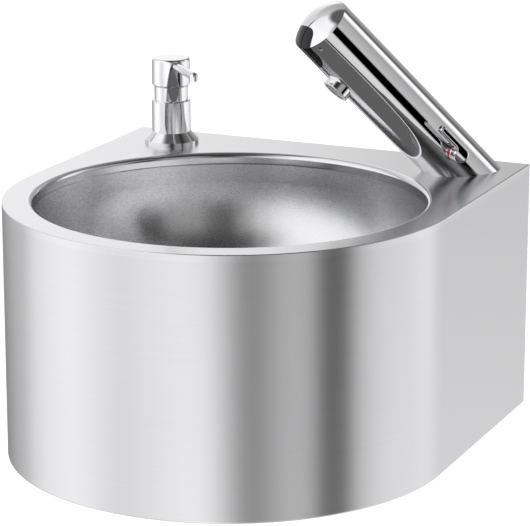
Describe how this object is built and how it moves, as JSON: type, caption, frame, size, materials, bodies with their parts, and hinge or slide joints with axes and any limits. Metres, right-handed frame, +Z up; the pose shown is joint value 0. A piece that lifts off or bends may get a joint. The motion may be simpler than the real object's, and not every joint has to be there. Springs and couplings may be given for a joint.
{
  "type": "wall-hung hand wash basin",
  "caption": "D-shaped wall-hung hand wash basin in brushed stainless steel with a round bowl, an inclined sensor tap with temperature lever and a push soap dispenser.",
  "frame": {"origin": "centre of the four wall fixings, on the wall face of the back plate, half way up the basin", "axes": "+Y into the wall, +Z up, +X to the right of a user who faces the wall"},
  "size_m": [0.38, 0.4069, 0.3777],
  "materials": {
    "basin_steel": "brushed stainless steel, fine level grain round the walls",
    "waste_steel": "satin stainless steel",
    "seal_rubber": "matt black rubber",
    "tap_chrome": "polished chrome plate",
    "dispenser_chrome": "polished chrome plate",
    "window_black": "gloss infrared window, almost black",
    "module_black": "matt black housing",
    "fastener_steel": "plain stainless steel",
    "plain_brass": "turned brass",
    "white_plastic": "natural acetal",
    "bottle_plastic": "milky polyethylene",
    "spring_steel": "drawn spring wire",
    "hot_red": "red inlay",
    "cold_blue": "blue inlay"
  },
  "bodies": {
    "basin": {"deck_plate": "basin_steel", "bowl": "basin_steel", "apron": "basin_steel", "back_plate": "basin_steel", "fixing_pads": "basin_steel", "tap_stiffener": "basin_steel", "dispenser_stiffener": "basin_steel", "waste_grid": "waste_steel", "waste_tail": "waste_steel", "waste_screw": "waste_steel", "waste_upper_seal": "seal_rubber", "waste_lower_seal": "seal_rubber", "tap_base_seal": "seal_rubber", "tap_clamp_seal": "seal_rubber", "dispenser_gasket": "seal_rubber", "dispenser_washer": "seal_rubber", "tap_body": "tap_chrome", "tap_cap": "tap_chrome", "aerator_collar": "tap_chrome", "control_bezel": "tap_chrome", "dispenser_flange": "dispenser_chrome", "dispenser_collar": "dispenser_chrome", "sensor_window": "window_black", "sensor_module": "module_black", "solenoid_coil": "module_black", "battery": "module_black", "tap_clamp_washer": "fastener_steel", "cap_screw": "fastener_steel", "tap_foot": "plain_brass", "tap_shank": "plain_brass", "tap_nut": "plain_brass", "solenoid_valve": "plain_brass", "outlet_pipe": "plain_brass", "aerator_insert": "white_plastic", "mixing_cartridge": "white_plastic", "pump_barrel": "white_plastic", "dip_tube": "white_plastic", "dispenser_threaded_tube": "white_plastic", "dispenser_nut": "white_plastic", "soap_bottle": "bottle_plastic", "pump_spring": "spring_steel", "hot_marker": "hot_red", "cold_marker": "cold_blue"},
    "lever": {"temperature_lever": "tap_chrome", "lever_screw": "fastener_steel", "cartridge_spindle": "plain_brass"},
    "plunger": {"pump_stem": "white_plastic"},
    "pump_head": {"head_sleeve": "dispenser_chrome", "push_cap": "dispenser_chrome", "soap_spout": "dispenser_chrome"}
  },
  "joints": [
    {"name": "lever_turn", "type": "hinge", "parent": "basin", "child": "lever", "pos_m": [0.15354, -0.08506, 0.13355], "axis": [0.7712, -0.6366, 0], "range_deg": [-40, 40]},
    {"name": "pump_press", "type": "slide", "parent": "basin", "child": "plunger", "axis": [0, 0, -1], "range_m": [0, 0.0115], "stiffness_N_per_m": 450, "springref_m": -0.012, "deforming": ["pump_spring"]},
    {"name": "spout_swivel", "type": "hinge", "parent": "plunger", "child": "pump_head", "pos_m": [-0.1364, -0.048, 0.1623], "axis": [0, 0, 1], "continuous": true}
  ]
}
